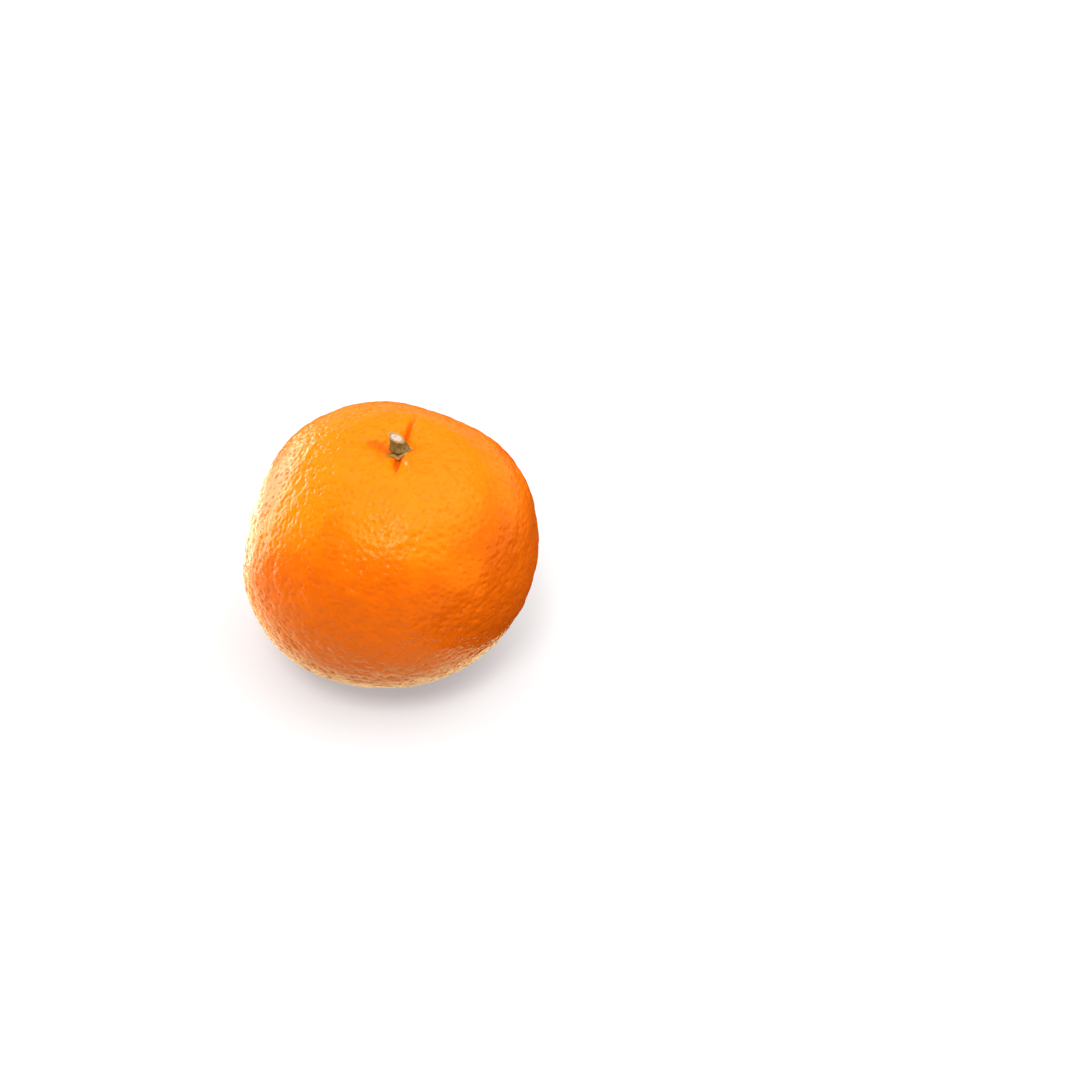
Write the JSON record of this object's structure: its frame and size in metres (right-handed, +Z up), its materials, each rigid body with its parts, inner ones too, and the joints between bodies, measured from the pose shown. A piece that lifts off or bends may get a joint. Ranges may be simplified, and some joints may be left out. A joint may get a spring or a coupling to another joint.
{
  "type": "tangerine",
  "caption": "Whole fresh tangerine with a dimpled, puckered stem end, a small calyx and a short cut stem stub, resting on a flat spot.",
  "frame": {"origin": "centre of the object's footprint, on the surface that it rests on, with the flat spot under the fruit at z = 0", "axes": "+Z up along the fruit's core towards the stem, -Y towards the side with the short straight furrow below the calyx, +X to the right seen from there"},
  "size_m": [0.0672, 0.0666, 0.0639],
  "materials": {
    "peel": "satin",
    "calyx": "matte",
    "stem": "matte"
  },
  "bodies": {
    "root": {"fruit": "peel", "calyx": "calyx", "stem_stub": "stem"}
  },
  "joints": []
}
